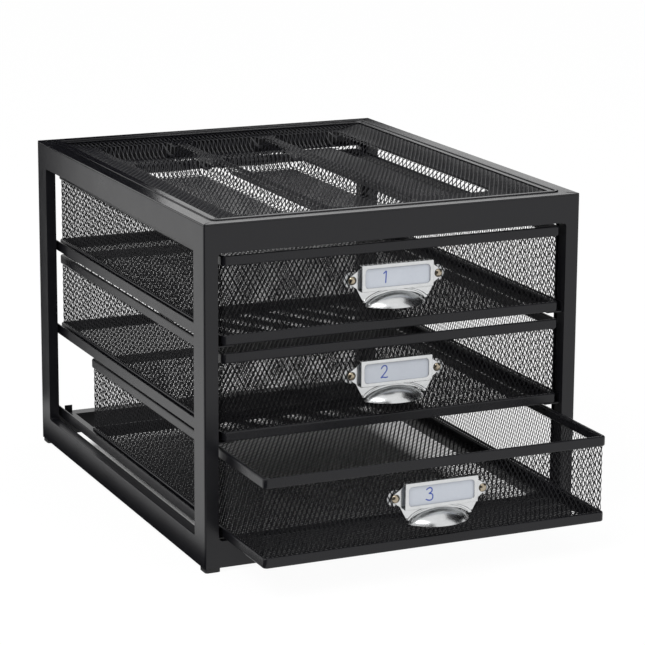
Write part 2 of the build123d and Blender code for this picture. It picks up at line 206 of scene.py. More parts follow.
def nickel_plate(name, colour, roughness):
    """Bright plated steel: faint rolling lines, slow satin clouds and tiny pits."""
    plate = Finish(name)
    grain = plate.noise(0.35 * MM, detail=2.0, stretch=(0.08, 1.0, 1.0))
    cloud = plate.noise(4 * MM, detail=5.0, roughness=0.65, stretch=(0.6, 1.0, 1.0))
    tint = plate.blend(cloud, tuple(0.78 * c for c in colour), tuple(1.05 * c for c in colour))
    sheen = cloud * 0.16 + grain * 0.08 + (roughness - 0.10)
    skin = plate.bump(grain * 0.6 + cloud * 0.4, 0.02 * MM, 0.3)
    return plate.finish(Base_Color=tint, Metallic=1.0, Roughness=sheen, Normal=skin)


def card_stock():
    """Uncoated card: cool white with fine fibres."""
    card = Finish("card_stock")
    fibres = card.noise(0.6 * MM, detail=4.0, roughness=0.7, stretch=(0.4, 1.0, 1.0))
    cloud = card.noise(14 * MM, detail=2.0)
    tint = card.blend(fibres * 0.6 + cloud * 0.4, (0.47, 0.50, 0.56), (0.60, 0.63, 0.68))
    return card.finish(Base_Color=tint, Roughness=0.8, Normal=card.bump(fibres, 0.03 * MM, 0.3))


def pen_ink():
    """Blue ballpoint ink, denser where the pen pressed."""
    ink = Finish("pen_ink")
    press = ink.noise(1.2 * MM, detail=3.0)
    tint = ink.blend(press, (0.010, 0.035, 0.26), (0.03, 0.08, 0.42))
    return ink.finish(Base_Color=tint, Roughness=0.45)


def foot_rubber():
    """Black rubber with a matte grain."""
    rubber = Finish("foot_rubber")
    grain = rubber.noise(0.4 * MM, detail=3.0)
    tint = rubber.blend(grain, (0.012, 0.012, 0.012), (0.024, 0.024, 0.025))
    skin = rubber.bump(grain, 0.05 * MM, 0.4)
    return rubber.finish(Base_Color=tint, Roughness=grain * 0.1 + 0.65, Normal=skin)


BLACK = (0.008, 0.008, 0.010)
frame_coat = powder_coat("frame_coat", BLACK, 0.30, 1.40)
drawer_coat = powder_coat("drawer_coat", BLACK, 0.28, 1.38)
lid_coat = powder_coat("lid_coat", BLACK, 0.20, 1.40)
tray_coat = powder_coat("tray_coat", (0.009, 0.009, 0.012), 0.34, 1.45)
mesh_coat = powder_coat("mesh_coat", (0.006, 0.006, 0.0075), 0.48, 1.26)
pull_plate = nickel_plate("pull_plate", (0.70, 0.71, 0.715), 0.20)
screw_plate = nickel_plate("screw_plate", (0.42, 0.36, 0.27), 0.20)
zinc_plate = nickel_plate("zinc_plate", (0.60, 0.61, 0.62), 0.34)
paper = card_stock()
ink = pen_ink()
rubber = foot_rubber()


# ================================================================================================
# Meshes
# ================================================================================================
SMOOTH_UP_TO = math.radians(40)
FLAT_EDGE = 2.5 * MM  # a face with no shorter edge is flat, and so is one of more than the area
FLAT_AREA = (14 * MM) ** 2
CORNER_STEPS = 5
DOUBLES = 0.002 * MM


def all_of(bm):
    """All vertices, edges and faces."""
    return list(bm.verts) + list(bm.edges) + list(bm.faces)


def bevel(bm, geometry, offset, segments, affect="EDGES"):
    """A round bevel of one size on edges or, flat in their faces, on vertices."""
    bmesh.ops.bevel(
        bm, geom=geometry, offset=offset, offset_type="OFFSET", segments=segments, profile=0.5,
        affect=affect, clamp_overlap=True, material=-1,
    )


def thicken(bm, faces, height):
    """Draws flat faces up into a closed plate."""
    raised = bmesh.ops.extrude_face_region(bm, geom=faces)
    top = [item for item in raised["geom"] if isinstance(item, bmesh.types.BMVert)]
    bmesh.ops.translate(bm, vec=(0, 0, height), verts=top)
    bmesh.ops.recalc_face_normals(bm, faces=bm.faces)


def piece_from(bm, name, material, body, *nodes, slot=None):
    """Makes a piece of a bmesh, rides it on a body and puts it in place of CAD nodes."""
    for face in bm.faces:
        shortest = min(edge.calc_length() for edge in face.edges)
        face.smooth = shortest < FLAT_EDGE and face.calc_area() < FLAT_AREA
    for edge in bm.edges:
        edge.smooth = edge.is_manifold and edge.calc_face_angle(0.0) < SMOOTH_UP_TO
    mesh = bpy.data.meshes.new(name)
    bm.to_mesh(mesh)
    bm.free()
    mesh.materials.append(material)
    piece = bpy.data.objects.new(name, mesh)
    bpy.context.scene.collection.objects.link(piece)
    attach(piece, body)
    if nodes:
        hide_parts(*nodes)
    return piece


def merged_copy(node):
    """A CAD node's shape with its triangles joined into whole faces."""
    bm = bmesh.new()
    bm.from_mesh(frame["nodes"][node].data)
    bmesh.ops.remove_doubles(bm, verts=bm.verts, dist=DOUBLES)
    bmesh.ops.dissolve_limit(
        bm, angle_limit=math.radians(1.0), verts=bm.verts, edges=bm.edges, delimit={"NORMAL"}
    )
    return bm


def soften(bm, radius, segments=2, angle=35):
    """Rounds every edge that is sharper than an angle."""
    least = math.radians(angle)
    sharp = [e for e in bm.edges if e.is_manifold and e.calc_face_angle(0.0) > least]
    bevel(bm, sharp, radius, segments)
    return bm


def rounded_outline(bm, low, high, radius, z):
    """The edges of a rectangle with rounded corners, flat at one height."""
    corners = ((low.x, low.y), (high.x, low.y), (high.x, high.y), (low.x, high.y))
    verts = [bm.verts.new((x, y, z)) for x, y in corners]
    bm.faces.new(verts)
    bevel(bm, verts, radius, CORNER_STEPS, affect="VERTICES")
    flat = [f for f in bm.faces if len(f.verts) > 4]
    edges = list(flat[-1].edges)
    bmesh.ops.delete(bm, geom=[flat[-1]], context="FACES_ONLY")
    return edges


def framed(low, high, window_low, window_high, radii, round_edges=0.0, steps=2):
    """A flat plate between two heights with a window in it, both with rounded corners."""
    bm = bmesh.new()
    outer = rounded_outline(bm, low, high, radii[0], low.z)
    inner = rounded_outline(bm, window_low, window_high, radii[1], low.z)
    bridged = bmesh.ops.bridge_loops(bm, edges=outer + inner)
    thicken(bm, bridged["faces"], high.z - low.z)
    if round_edges:
        soften(bm, round_edges, steps, angle=60)
    return bm


def ring(low, high, outer_radius, inner_radius, width, round_edges=0.0, steps=2):
    """A flat ring of one width round a box's four sides, as high as the box."""
    inward = Vector((width, width, 0))
    radii = (outer_radius, inner_radius)
    return framed(low, high, low + inward, high - inward, radii, round_edges, steps)


def slab(low, high, round_edges):
    """A block with softened edges."""
    bm = bmesh.new()
    bmesh.ops.create_cube(bm, size=1.0)
    bmesh.ops.scale(bm, vec=high - low, verts=bm.verts)
    bmesh.ops.translate(bm, vec=(low + high) / 2, verts=bm.verts)
    return soften(bm, round_edges)


def stamped(outline, thickness):
    """A plate of one thickness from its outline in the XY plane."""
    bm = bmesh.new()
    bm.faces.new([bm.verts.new((x, y, 0)) for x, y in outline])
    thicken(bm, list(bm.faces), thickness)
    return bm


def join(*parts):
    """One bmesh of several closed shapes."""
    whole = bmesh.new()
    for part in parts:
        mesh = bpy.data.meshes.new("part")
        part.to_mesh(mesh)
        part.free()
        whole.from_mesh(mesh)
        bpy.data.meshes.remove(mesh)
    return whole


# ---- Expanded metal ----------------------------------------------------------------------------
BLUNT_SHARE = 0.13  # how much of a diamond's height the flat at its sides takes


def diamond_cell(width, height, strand, blunt):
    """One diamond of expanded metal in the XY plane: a ridge round it that slopes down to the gap."""
    bm = bmesh.new()
    bmesh.ops.create_circle(bm, cap_ends=True, segments=4, radius=1.0)
    bmesh.ops.scale(bm, vec=(width / 2, height / 2, 1.0), verts=bm.verts)
    gap = list(bm.faces)
    half = strand[0] / 2
    bmesh.ops.inset_region(bm, faces=gap, thickness=half, use_even_offset=True, use_boundary=True)
    if blunt:
        sides = [v for v in gap[0].verts if abs(v.co.y) < height / 20]
        bevel(bm, sides, height * BLUNT_SHARE, 1, affect="VERTICES")
    middle = min(bm.faces, key=lambda face: face.calc_center_median().length)
    bmesh.ops.delete(bm, geom=[middle], context="FACES_ONLY")
    for vert in bm.verts:
        if abs(vert.co.x) / width + abs(vert.co.y) / height > 0.499:
            vert.co.z = strand[1] / 2
    bmesh.ops.mirror(bm, geom=all_of(bm), axis="Z", merge_dist=0.0)
    bmesh.ops.remove_doubles(bm, verts=bm.verts, dist=0.001 * MM)
    bmesh.ops.recalc_face_normals(bm, faces=bm.faces)
    return bm


def expanded_metal(length, width, along, across, strand, blunt=True):
    """A flat sheet of diamonds, length by width, centred on the origin and cut square."""
    bm = diamond_cell(along, across, strand, blunt)
    columns = int(length / along) + 3
    rows = int(width / across) + 3
    half_step = (along / 2, across / 2, 0)
    for step, more in (((along, 0, 0), columns - 1), ((0, across, 0), rows - 1), (half_step, 1)):
        bmesh.ops.spin(
            bm, geom=all_of(bm), cent=(0, 0, 0), axis=(0, 0, 1), dvec=step, angle=0.0, steps=more,
            use_duplicate=True,
        )
    middle = (-(columns - 0.5) * along / 2, -(rows - 0.5) * across / 2, 0)
    bmesh.ops.translate(bm, vec=middle, verts=bm.verts)
    bmesh.ops.remove_doubles(bm, verts=bm.verts, dist=0.01 * MM)
    for x, y in ((length / 2, 0), (-length / 2, 0), (0, width / 2), (0, -width / 2)):
        plane = {"plane_co": (x, y, 0), "plane_no": Vector((x, y, 0)).normalized()}
        bmesh.ops.bisect_plane(bm, geom=all_of(bm), dist=1e-7, clear_outer=True, **plane)
    ends = [e for e in bm.edges if e.is_boundary]
    bmesh.ops.holes_fill(bm, edges=ends, sides=0)
    return bm


def bend_round(bm, low, high, radius, z_middle):
    """Bends a flat strip into a rectangular ring with rounded corners, its seam at the back."""
    width, depth = high.x - low.x, high.y - low.y
    centre = (low + high) / 2
    flat_x, flat_y = width - 2 * radius, depth - 2 * radius
    arc = math.pi / 2 * radius
    stretches = (flat_x / 2, arc, flat_y, arc, flat_x, arc, flat_y, arc, flat_x / 2)
    for vert in bm.verts:
        along, height, out = vert.co.x, vert.co.y, vert.co.z
        travelled = along + sum(stretches) / 2
        place = Vector((0.0, depth / 2))
        heading = math.pi
        for number, stretch in enumerate(stretches):
            step = min(max(travelled, 0.0), stretch)
            travelled -= step
            if number % 2 == 0:
                place += step * Vector((math.cos(heading), math.sin(heading)))
            else:
                turn = step / radius
                hub = place + radius * Vector((-math.sin(heading), math.cos(heading)))
                place = hub + radius * Vector((math.sin(heading + turn), -math.cos(heading + turn)))
                heading += turn
            if travelled <= 0:
                break
        outward = Vector((math.sin(heading), -math.cos(heading)))
        flat = place + out * outward
        vert.co = (centre.x + flat.x, centre.y + flat.y, z_middle + height)
    bmesh.ops.recalc_face_normals(bm, faces=bm.faces)


def drawer_walls(level):
    """One strip of expanded metal folded round all four sides of a drawer."""
    name = level + "_drawer_"
    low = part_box(name + "left_mesh")[0]
    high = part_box(name + "right_mesh")[1]
    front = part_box(name + "front_mesh")[0]
    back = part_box(name + "back_mesh")[1]
    outer = (Vector((low.x, front.y, low.z)), Vector((high.x, back.y, high.z)))
    inward = Vector((WALL_STRAND[1] / 2, WALL_STRAND[1] / 2, 0))
    low, high = outer[0] + inward, outer[1] - inward
    around = 2 * (high.x - low.x + high.y - low.y) - (8 - 2 * math.pi) * MESH_FOLD_RADIUS
    cells = round(around / CELL_WIDTH)
    bm = expanded_metal(around, high.z - low.z, around / cells, CELL_HEIGHT, WALL_STRAND)
    bend_round(bm, low, high, MESH_FOLD_RADIUS, (low.z + high.z) / 2)
    nodes = [name + side + "_mesh" for side in ("left", "right", "front", "back")]
    piece_from(bm, name + "walls", mesh_coat, level + "_drawer", *nodes, slot="black_mesh")


def drawer_floor(level):
    """A drawer's bottom, of a heavier mesh."""
    name = level + "_drawer_floor_mesh"
    low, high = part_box(name)
    size = (high.x - low.x, high.y - low.y)
    bm = expanded_metal(*size, CELL_WIDTH, CELL_HEIGHT, FLOOR_STRAND, blunt=False)
    bmesh.ops.translate(bm, vec=(low + high) / 2, verts=bm.verts)
    piece_from(bm, name + "_net", mesh_coat, level + "_drawer", name, slot="black_mesh")


def eased(distance, run):
    """0 at the edge of a hollow and 1 past its sloping side, with soft bends at both."""
    t = min(max(distance / run, 0.0), 1.0)
    return t * t * (3 - 2 * t)


def inside_distance(x, y, low, high, radius):
    """How far a point lies inside a rectangle with rounded corners."""
    middle_x, middle_y = (low[0] + high[0]) / 2, (low[1] + high[1]) / 2
    out_x = abs(x - middle_x) - ((high[0] - low[0]) / 2 - radius)
    out_y = abs(y - middle_y) - ((high[1] - low[1]) / 2 - radius)
    outside = math.hypot(max(out_x, 0.0), max(out_y, 0.0))
    return radius - outside - min(max(out_x, out_y), 0.0)


TRAY_OPENING_INSET = 16 * MM
TRAY_SLOPE_X = (22 * MM, 21 * MM)  # how wide the sloping edge is on the left and right
TRAY_SLOPE_Y = (21 * MM, 7 * MM)  # and at the front and back
TRAY_DROP = 3 * MM
WELL_DEPTH = 11.6 * MM
WELL_SLOPE = 7 * MM
WELL_RADIUS = 12 * MM
# In mm: x from the tray's middle, y from the cabinet's front.
WELL_COLUMNS = ((-100.5, -36.5), (-30.0, 36.0))
LONG_WELL_Y = (38.0, 249.0)
SHORT_WELL_Y = (257.0, 320.0)
PEN_WELL = ((42.5, 101.0), (52.0, 320.0))


def tray_wells(front_y):
    """The wells' outlines as ((low x, low y), (high x, high y))."""
    outlines = [PEN_WELL]
    for column in WELL_COLUMNS:
        outlines += [(column, LONG_WELL_Y), (column, SHORT_WELL_Y)]
    wells = []
    for x, y in outlines:
        low = (x[0] * MM, front_y + y[0] * MM)
        high = (x[1] * MM, front_y + y[1] * MM)
        wells.append((low, high))
    return wells


def tray():
    """Expanded metal pressed into five wells under the lid border."""
    low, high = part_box("top_tray")
    lid_low, lid_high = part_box("top_border")
    wells = tray_wells(lid_low.y)
    edge_low = lid_low + Vector((TRAY_OPENING_INSET, TRAY_OPENING_INSET, 0))
    edge_high = lid_high - Vector((TRAY_OPENING_INSET, TRAY_OPENING_INSET, 0))
    size = (high.x - low.x, high.y - low.y)
    bm = expanded_metal(*size, CELL_WIDTH, CELL_HEIGHT, TRAY_STRAND, blunt=False)
    middle = (low + high) / 2
    for vert in bm.verts:
        x, y = vert.co.x + middle.x, vert.co.y + middle.y
        shares = (
            (x - edge_low.x) / TRAY_SLOPE_X[0],
            (edge_high.x - x) / TRAY_SLOPE_X[1],
            (y - edge_low.y) / TRAY_SLOPE_Y[0],
            (edge_high.y - y) / TRAY_SLOPE_Y[1],
        )
        drop = TRAY_DROP * eased(min(shares), 1.0)
        for well_low, well_high in wells:
            inside = inside_distance(x, y, well_low, well_high, WELL_RADIUS)
            drop += WELL_DEPTH * eased(inside, WELL_SLOPE)
        surface = high.z - TRAY_STRAND[1] / 2 - drop
        vert.co = (x, y, surface + vert.co.z)
    piece_from(bm, "top_tray_net", tray_coat, "cabinet", "top_tray", slot="black_mesh")


# ---- Folded sheet ------------------------------------------------------------------------------
SHEET_ROUND = 0.3 * MM
UPRIGHT_ROUND = 1.6 * MM
ON_FACE = 0.01 * MM
BORDER = 16 * MM
BORDER_CORNER = 1.1 * MM
BORDER_WINDOW_CORNER = 3 * MM
BEAD_INSET = 9.5 * MM
BEAD_WIDTH = 2.2 * MM
BEAD_HEIGHT = 0.7 * MM
BEAD_SUNK = 0.5 * MM
BEAD_CORNERS = (5 * MM, 4 * MM)
BEAD_ROUND = 0.6 * MM
DRAWER_CORNER = 3 * MM
CHANNEL_WIDTH = 3 * MM
CHANNEL_ROUND = 1.1 * MM
CHANNEL_INNER = 0.4 * MM
CHANNEL_OVERLAP = 0.5 * MM
LEDGE_SHEET = 1 * MM
LEDGE_ROUND = 0.15 * MM
FLOOR_LEDGE = 8 * MM
FOOT_ROUND = 0.5 * MM


def round_uprights(bm):
    """A wider round on a frame's outer upright edges, where the sheet is folded."""
    sides = (min(v.co.x for v in bm.verts), max(v.co.x for v in bm.verts))
    faces = (min(v.co.y for v in bm.verts), max(v.co.y for v in bm.verts))
    outer = faces[0] if faces[0] < 0 else faces[1]
    upright = []
    for edge in bm.edges:
        first, second = (vert.co for vert in edge.verts)
        at_side = any(abs(first.x - x) < ON_FACE and abs(second.x - x) < ON_FACE for x in sides)
        at_face = abs(first.y - outer) < ON_FACE and abs(second.y - outer) < ON_FACE
        if at_side and at_face:
            upright.append(edge)
    bevel(bm, upright, UPRIGHT_ROUND, 4)


def cabinet_sheets():
    """The four pressed frames, and the same coat on the runners."""
    for node in FRAMES:
        bm = merged_copy(node)
        if node in ("front_frame", "back_frame"):
            round_uprights(bm)
        soften(bm, SHEET_ROUND)
        piece_from(bm, node + "_sheet", frame_coat, "cabinet", node, slot="black_coat")
    for level in LEVELS:
        for side in ("left", "right"):
            frame["nodes"][level + "_runner_" + side].data.materials[0] = frame_coat


def lid_border():
    """The lid's flat border with a low bead pressed up round the tray."""
    low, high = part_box("top_border")
    flat_high = Vector((high.x, high.y, high.z - BEAD_HEIGHT))
    flat = ring(low, flat_high, BORDER_CORNER, BORDER_WINDOW_CORNER, BORDER, SHEET_ROUND)
    inset = Vector((BEAD_INSET, BEAD_INSET, 0))
    bead_low = Vector((low.x, low.y, flat_high.z - BEAD_SUNK)) + inset
    bead = ring(bead_low, high - inset, *BEAD_CORNERS, BEAD_WIDTH, BEAD_ROUND, 3)
    piece_from(join(flat, bead), "lid_border", lid_coat, "cabinet", "top_border", slot="black_coat")


def drawer_rim(level):
    """Folded channel over the top edge of the mesh."""
    node = level + "_drawer_rim"
    low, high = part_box(node)
    channel = ring(low, high, DRAWER_CORNER, CHANNEL_INNER, CHANNEL_WIDTH, CHANNEL_ROUND, 3)
    piece_from(channel, node + "_channel", drawer_coat, level + "_drawer", node, slot="black_coat")


def drawer_base_band(level):
    """The same channel round the bottom, and a ledge under the floor's edge."""
    node = level + "_drawer_base_band"
    low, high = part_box(node)
    channel = ring(low, high, DRAWER_CORNER, CHANNEL_INNER, CHANNEL_WIDTH, CHANNEL_ROUND, 3)
    inward = CHANNEL_WIDTH - CHANNEL_OVERLAP
    inset = Vector((inward, inward, 0))
    ledge_high = Vector((high.x, high.y, low.z + LEDGE_SHEET)) - inset
    width = FLOOR_LEDGE - inward
    ledge = ring(low + inset, ledge_high, CHANNEL_INNER, CHANNEL_INNER, width, LEDGE_ROUND)
    band = join(channel, ledge)
    piece_from(band, node + "_channel", drawer_coat, level + "_drawer", node, slot="black_coat")


def feet():
    """Four rubber pads with softened edges."""
    for end in ("front", "back"):
        for side in ("left", "right"):
            node = "foot_" + end + "_" + side
            bm = soften(merged_copy(node), FOOT_ROUND)
            piece_from(bm, node + "_pad", rubber, "cabinet", node, slot="black_rubber")


# ---- Pulls: drawn flat (x across, y up, z out of the drawer) and then stood up ------------------
PLATE_HALF = 26.8 * MM
PLATE_HEIGHT = 18.2 * MM
PLATE_FRONT = 4.4 * MM
PULL_SHEET = 0.8 * MM
WINDOW_HALF = 24.0 * MM
WINDOW_TOP = 2.6 * MM
WINDOW_HEIGHT = 13.1 * MM
HOLDER_CORNERS = (0.7 * MM, 2.4 * MM)
HOLDER_ROUND = 0.38 * MM
WALL_SETBACK = (0.05 * MM, 0.02 * MM)  # keeps the walls' faces off the holder's own
WALL_BACK = 0.1 * MM
WALL_FRONT = PLATE_FRONT - 0.3 * MM
WALL_ROUND = 0.2 * MM
FIELD_INSET = (2.3 * MM, 1.3 * MM)
FIELD_BACK = 0.3 * MM
FIELD_FRONT = 2.6 * MM
FIELD_ROUND = 0.5 * MM
EAR_X = 31.7 * MM
EAR_DROP = 10.3 * MM
EAR_RADIUS = 3.3 * MM
EAR_STEPS = 9
EAR_TURNS = (-70, 60)  # degrees, where the ear's round starts and ends
EAR_END = (25.8 * MM, -2.4 * MM)
SKIRT_EDGE = ((18.6, -25.0), (24.6, -24.6), (26.8, -20.6), (29.0, -16.2))  # mm, up to the ear
SKIRT_DROP = 25.0 * MM
BASE_ROUND = 0.25 * MM
CUP_CUT = 0.3  # the open edge's height above the dome's widest line, as a share of its radius
CUP_SINK = 0.35  # how much of the dome's radius is sunk behind the plate
CUP_HALF = 22.8 * MM
CUP_REACH = 13.5 * MM
CUP_RISE = 9.5 * MM
CUP_DROP = 29.0 * MM
CUP_STEPS = 28
ARCH_RISE = 8.9 * MM
ARCH_STEPS = 12
BEAD_HALF = 23.8 * MM
BEAD_RISE = 10.9 * MM
BEAD_START = math.radians(16)
BEAD_STEPS = 40
BEAD_FLAT = 0.5
CUP_BEAD = 1.5 * MM


def ear_outline():
    """One side of the base plate, from the skirt up round the ear to the label frame."""
    points = [(x * MM, y * MM) for x, y in SKIRT_EDGE]
    start, end = EAR_TURNS
    for step in range(EAR_STEPS):
        turn = math.radians(start + (end - start) * step / (EAR_STEPS - 1))
        points.append((EAR_X + EAR_RADIUS * math.cos(turn), -EAR_DROP + EAR_RADIUS * math.sin(turn)))
    return points + [EAR_END]


def pull_base():
    """Base plate with an ear each side, cut away over the cup."""
    right = ear_outline()
    left = [(-x, y) for x, y in reversed(right)]
    arch = []
    for step in range(1, ARCH_STEPS):
        turn = math.pi * step / ARCH_STEPS
        arch.append((-CUP_HALF * math.cos(turn), -CUP_DROP + ARCH_RISE * math.sin(turn)))
    inside = [point for point in arch if point[1] > -SKIRT_DROP]
    return soften(stamped(right + left + inside, PULL_SHEET), BASE_ROUND)


def label_holder():
    """Raised frame round the label window, open at both ends, and the field behind it."""
    window_low = Vector((-WINDOW_HALF, -WINDOW_TOP - WINDOW_HEIGHT, 0))
    window_high = Vector((WINDOW_HALF, -WINDOW_TOP, 0))
    low = Vector((-PLATE_HALF, -PLATE_HEIGHT, PLATE_FRONT - PULL_SHEET))
    high = Vector((PLATE_HALF, 0, PLATE_FRONT))
    front = framed(low, high, window_low, window_high, HOLDER_CORNERS, HOLDER_ROUND, 3)
    end, side = WALL_SETBACK
    walls = []
    for y in (-PLATE_HEIGHT, -PULL_SHEET):
        wall_low = Vector((-PLATE_HALF + end, y + side, WALL_BACK))
        wall_high = Vector((PLATE_HALF - end, y + PULL_SHEET - side, WALL_FRONT))
        walls.append(slab(wall_low, wall_high, WALL_ROUND))
    end, side = FIELD_INSET
    field_low = Vector((-PLATE_HALF + end, -PLATE_HEIGHT + side, FIELD_BACK))
    field_high = Vector((PLATE_HALF - end, -side, FIELD_FRONT))
    return join(front, *walls, slab(field_low, field_high, FIELD_ROUND))


def cup():
    """Finger cup: the upper part of a stretched dome sunk into the plate, open below."""
    bm = bmesh.new()
    bmesh.ops.create_uvsphere(bm, u_segments=2 * CUP_STEPS, v_segments=CUP_STEPS, radius=1.0)
    bmesh.ops.rotate(bm, matrix=Matrix.Rotation(QUARTER, 3, "Y"), verts=bm.verts)
    for normal, place in (((0, -1, 0), (0, CUP_CUT, 0)), ((0, 0, -1), (0, 0, CUP_SINK))):
        plane = {"plane_co": place, "plane_no": normal}
        bmesh.ops.bisect_plane(bm, geom=all_of(bm), dist=1e-6, clear_outer=True, **plane)
    half = math.sqrt(1 - CUP_CUT**2 - CUP_SINK**2)
    rise = CUP_RISE / (math.sqrt(1 - CUP_SINK**2) - CUP_CUT)
    reach = CUP_REACH / (math.sqrt(1 - CUP_CUT**2) - CUP_SINK)
    bmesh.ops.scale(bm, vec=(CUP_HALF / half, rise, reach), verts=bm.verts)
    bmesh.ops.recalc_face_normals(bm, faces=bm.faces)
    bmesh.ops.solidify(bm, geom=list(bm.faces), thickness=PULL_SHEET)
    bmesh.ops.translate(bm, vec=(0, -CUP_DROP - rise * CUP_CUT, -reach * CUP_SINK), verts=bm.verts)
    bmesh.ops.recalc_face_normals(bm, faces=bm.faces)
    return bm


def cup_bead():
    """Raised bead that arches over the cup from end to end."""
    bm = bmesh.new()
    bmesh.ops.create_circle(bm, segments=12, radius=CUP_BEAD)
    bmesh.ops.rotate(bm, matrix=Matrix.Rotation(QUARTER, 3, "X"), verts=bm.verts)
    bmesh.ops.translate(bm, vec=(BEAD_HALF, 0, 0), verts=bm.verts)
    bmesh.ops.rotate(bm, matrix=Matrix.Rotation(BEAD_START, 3, "Z"), verts=bm.verts)
    bmesh.ops.spin(
        bm, geom=all_of(bm), cent=(0, 0, 0), axis=(0, 0, 1), dvec=(0, 0, 0),
        angle=math.pi - 2 * BEAD_START, steps=BEAD_STEPS, use_merge=False,
    )
    bmesh.ops.holes_fill(bm, edges=[e for e in bm.edges if e.is_boundary], sides=0)
    bmesh.ops.scale(bm, vec=(1, BEAD_RISE / BEAD_HALF, BEAD_FLAT), verts=bm.verts)
    bmesh.ops.translate(bm, vec=(0, -CUP_DROP, PULL_SHEET * 0.8), verts=bm.verts)
    bmesh.ops.recalc_face_normals(bm, faces=bm.faces)
    return bm


def stand_up(bm, level):
    """Turns what is drawn flat to face forwards, at its place on a drawer's front."""
    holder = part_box(level + "_drawer_pull")
    mesh_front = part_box(level + "_drawer_front_mesh")[0].y
    bmesh.ops.rotate(bm, matrix=Matrix.Rotation(QUARTER, 3, "X"), verts=bm.verts)
    bmesh.ops.translate(bm, vec=(0, mesh_front, holder[1].z), verts=bm.verts)
    return bm


def pull(level):
    """A drawer's plated pull, and the plating of its screws, washers and nuts."""
    name = level + "_drawer_"
    body = level + "_drawer"
    bm = stand_up(join(pull_base(), label_holder(), cup(), cup_bead()), level)
    piece_from(bm, name + "pull_plate", pull_plate, body, name + "pull", slot="plated_steel")
    frame["nodes"][name + "pull_screws"].data.materials[0] = screw_plate
    for part in ("pull_washers", "pull_nuts"):
        frame["nodes"][name + part].data.materials[0] = zinc_plate


# ---- Label cards, numbered by hand -------------------------------------------------------------
STROKES = {  # mm across and up from each number's middle
    "top": (((-1.5, 2.4), (0.0, 3.4), (0.7, 4.2)), ((0.7, 4.2), (0.6, 0.0), (0.3, -4.1))),
    "middle": (
        ((-2.3, 2.2), (-1.6, 4.3), (1.4, 4.6), (2.3, 2.0), (0.6, -0.8), (-2.6, -3.9)),
        ((-2.6, -3.9), (-0.6, -3.3), (0.9, -4.1), (2.7, -3.6)),
    ),
    "bottom": (
        ((-2.1, 3.1), (-0.4, 4.7), (2.3, 4.0), (2.1, 1.2), (-0.3, 0.5)),
        ((-0.3, 0.5), (2.6, 0.5), (3.0, -3.2), (0.4, -4.7), (-2.4, -3.2)),
    ),
}
STROKE_RADIUS = 0.42 * MM
INK_DEPTH = 0.2  # as a share of the stroke's width
CARD_ROUND = 0.12 * MM
NUMBER_FROM_LEFT = 17 * MM


def label_card(level):
    """Card with softened corners, and a number in ballpoint."""
    node = level + "_drawer_label_card"
    body = level + "_card"
    low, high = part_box(node)
    piece_from(slab(low, high, CARD_ROUND), node + "_stock", paper, body, node, slot="card")
    number = bpy.data.curves.new(node + "_number", "CURVE")
    number.dimensions = "3D"
    number.bevel_depth = STROKE_RADIUS
    number.bevel_resolution = 2
    number.use_fill_caps = True
    for stroke in STROKES[level]:
        spline = number.splines.new("NURBS")
        spline.points.add(len(stroke) - 1)
        for point, (x, z) in zip(spline.points, stroke):
            point.co = (x * MM, 0, z * MM, 1.0)
        spline.order_u = 3
        spline.use_endpoint_u = True
        spline.resolution_u = 10
    drawn = bpy.data.objects.new(node + "_number", number)
    written = bpy.data.meshes.new_from_object(drawn)
    bpy.data.objects.remove(drawn)
    bm = bmesh.new()
    bm.from_mesh(written)
    bpy.data.meshes.remove(written)
    bmesh.ops.remove_doubles(bm, verts=bm.verts, dist=0.001 * MM)
    bmesh.ops.scale(bm, vec=(1, INK_DEPTH, 1), verts=bm.verts)
    place = (low.x + NUMBER_FROM_LEFT, low.y, (low.z + high.z) / 2)
    bmesh.ops.translate(bm, vec=place, verts=bm.verts)
    bmesh.ops.recalc_face_normals(bm, faces=bm.faces)
    piece_from(bm, node + "_number", ink, body, slot="card")


# ================================================================================================
# Stage
# ================================================================================================
SHOWN_RAYS = ("Is Camera Ray", "Is Glossy Ray", "Is Transmission Ray")
FLOOR_HALF = 12
FLOOR_COLOUR = (0.9, 0.9, 0.9, 1.0)
UNDER_LOW = (-0.125, -0.11)  # the part of the floor in full shade, under the cabinet
UNDER_HIGH = (0.125, 0.20)
UNDER_FADE = 0.02
SHADE_SHARE = 0.08  # how much of the cast shadow the seen floor keeps
GLOW = 1.03
SKY_LEVEL = 0.6
FELT = (0.01, 0.01, 0.012, 1.0)

# Each flag's name, middle, turn about Z, tilt from lying flat, width and height.
FLAGS = (
    ("flag_back", (0.50, 0.32, 0.255), 0, 90, (1.10, 0.034)),
    ("flag_back_tall", (-0.095, 0.321, 0.465), 0, 90, (0.19, 0.45)),
    ("flag_back_left", (-0.175, 0.32, 0.135), 0, 90, (0.05, 0.27)),
    ("flag_left", (-0.75, -0.85, 0.75), -42, 90, (1.5, 1.4)),
    ("flag_right", (0.75, 0.1, 0.85), 90, 90, (1.6, 1.1)),
    ("mat_front_left", (-0.70, -0.81, 0.0005), 0, 0, (1.1, 1.3)),
    # Painted shadow: a black strip on the floor along the left side that only gloss shows, standing
    # in for the floor's contact shadow in the bottom rail's reflection.
    ("painted_contact_shadow_left", (-0.15, 0.10, 0.0005), 0, 0, (0.021, 0.6)),
)

# Each lamp's name, place, size, power in watts, and whether gloss shows it.
LAMPS = (
    ("key", (-1.3, -0.9, 1.7), (1.2, 1.2), 22, True),
    ("fill", (0.9, -1.6, 1.2), (1.0, 1.0), 8, False),
)
LAMPS_AIM = Vector((0, 0, 0.1))


